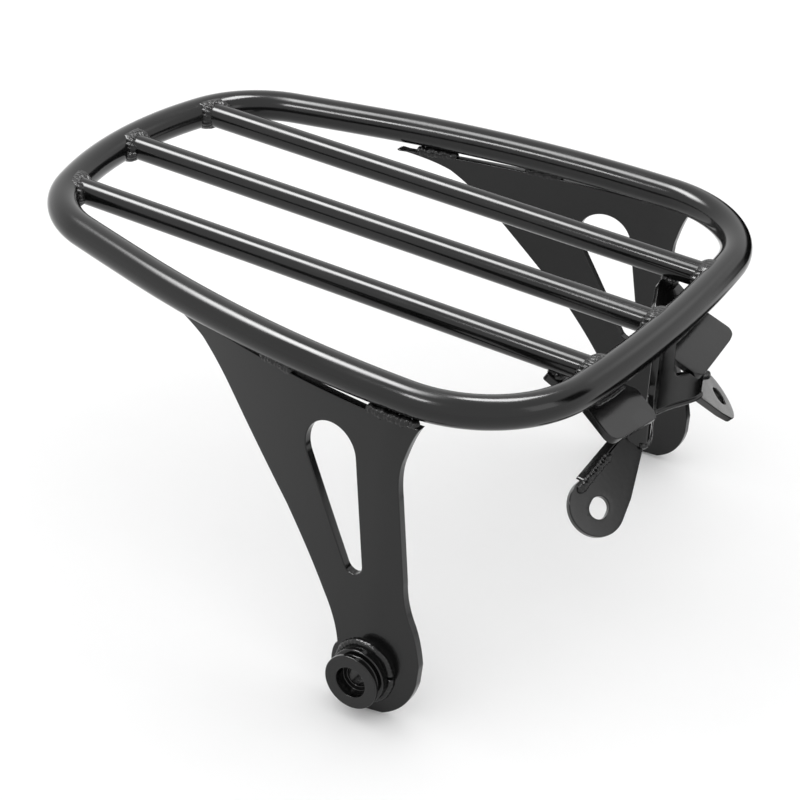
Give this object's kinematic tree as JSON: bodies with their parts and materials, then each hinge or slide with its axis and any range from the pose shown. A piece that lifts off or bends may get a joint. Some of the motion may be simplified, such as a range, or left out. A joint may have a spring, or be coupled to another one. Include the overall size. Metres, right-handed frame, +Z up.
{
  "type": "motorcycle fender luggage rack",
  "caption": "Rigid welded rear luggage rack in gloss black: tubular hoop, straight slats, leaning windowed side plates with bolt bushes, and a slotted front bracket.",
  "frame": {"origin": "midway between the two strut bushes, on the line of their bolts", "axes": "+X to the front of the rack, where the slotted bracket is; +Y to the left; +Z up"},
  "size_m": [0.3358, 0.3044, 0.1714],
  "materials": {
    "gloss_black": "gloss black enamel on steel",
    "weld_black": "gloss black enamel over rippled weld beads"
  },
  "bodies": {
    "root": {"hoop_tube": "gloss_black", "slat_left": "gloss_black", "slat_weld_left_rear": "weld_black", "slat_weld_left_front": "weld_black", "slat_center": "gloss_black", "slat_weld_center_rear": "weld_black", "slat_weld_center_front": "weld_black", "slat_right": "gloss_black", "slat_weld_right_rear": "weld_black", "slat_weld_right_front": "weld_black", "side_plate_left": "gloss_black", "plate_weld_rear_left": "weld_black", "plate_weld_middle_left": "weld_black", "plate_weld_front_left": "weld_black", "strut_bush_left": "gloss_black", "bush_weld_left": "weld_black", "mount_tab_left": "gloss_black", "tab_weld_left": "weld_black", "ear_rib_left": "gloss_black", "side_plate_right": "gloss_black", "plate_weld_rear_right": "weld_black", "plate_weld_middle_right": "weld_black", "plate_weld_front_right": "weld_black", "strut_bush_right": "gloss_black", "bush_weld_right": "weld_black", "mount_tab_right": "gloss_black", "tab_weld_right": "weld_black", "ear_rib_right": "gloss_black", "saddle_bracket": "gloss_black"}
  },
  "joints": []
}
